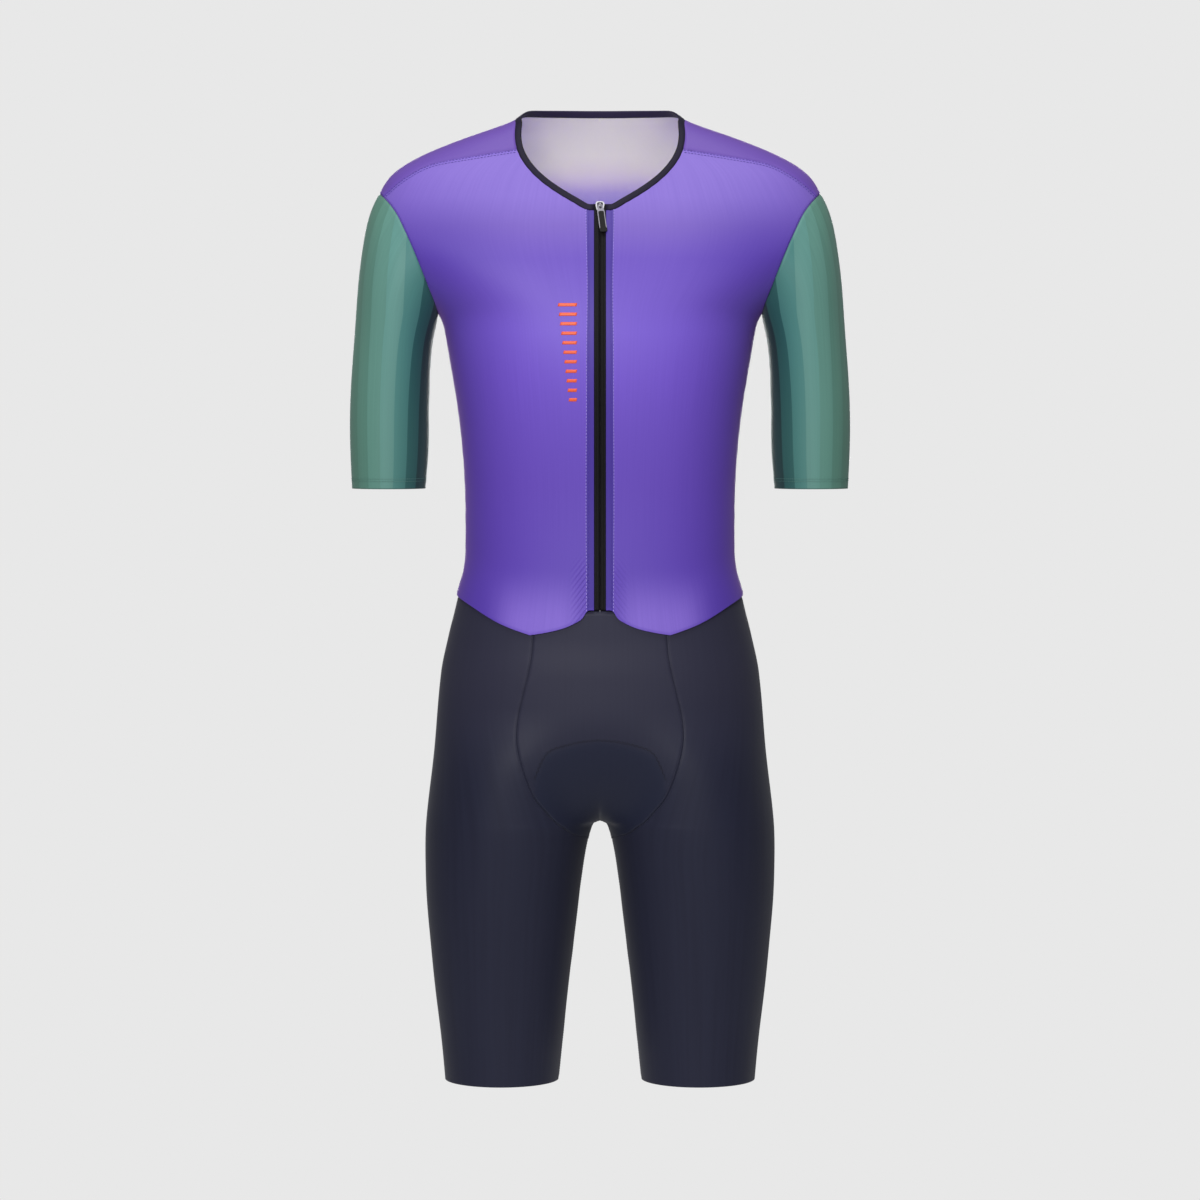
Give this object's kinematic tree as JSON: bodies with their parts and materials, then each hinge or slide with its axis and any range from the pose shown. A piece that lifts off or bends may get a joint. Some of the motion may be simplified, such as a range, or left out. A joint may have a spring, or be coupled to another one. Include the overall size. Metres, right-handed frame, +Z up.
{
  "type": "cycling skinsuit",
  "caption": "Short-sleeved cycling skinsuit with a front zip, bound round neck, set-in sleeves, shorts and a seat pad, filled out as if worn and standing.",
  "frame": {"origin": "midway between the two high points of the shoulders beside the neck, where the wearer carries the suit, on the plane between left and right", "axes": "+X towards the wearer's left, -Y towards the front, +Z up"},
  "size_m": [0.5182, 0.2302, 1.0109],
  "materials": {
    "jersey_knit": "smooth stretch knit, purple, satin",
    "sleeve_knit": "smooth stretch knit, green shading to dark blue, satin",
    "shorts_knit": "smooth compression knit, dark slate blue, satin",
    "binding": "elastic binding, near black, matt",
    "pad": "brushed face fabric over foam, dark blue, matt",
    "zip_tape": "woven tape with a nylon coil, black, matt",
    "zip_metal": "plated zinc casting, silver grey",
    "zip_tab": "moulded rubbery plastic, black, matt"
  },
  "bodies": {
    "root": {"front_left": "jersey_knit", "front_right": "jersey_knit", "back": "jersey_knit", "sleeve_left": "sleeve_knit", "sleeve_right": "sleeve_knit", "neck_binding": "binding", "shorts_front": "shorts_knit", "leg_left": "shorts_knit", "leg_right": "shorts_knit", "chamois_pad": "pad", "zip_tape_left": "zip_tape", "zip_tape_right": "zip_tape", "zip_slider": "zip_metal"},
    "pull": {"zip_pull": "zip_tab"}
  },
  "joints": [
    {"name": "pull_swing", "type": "hinge", "parent": "root", "child": "pull", "pos_m": [0, -0.07407, -0.0888], "axis": [-0.9925, -0.0566, -0.1079], "range_deg": [0, 150]}
  ]
}
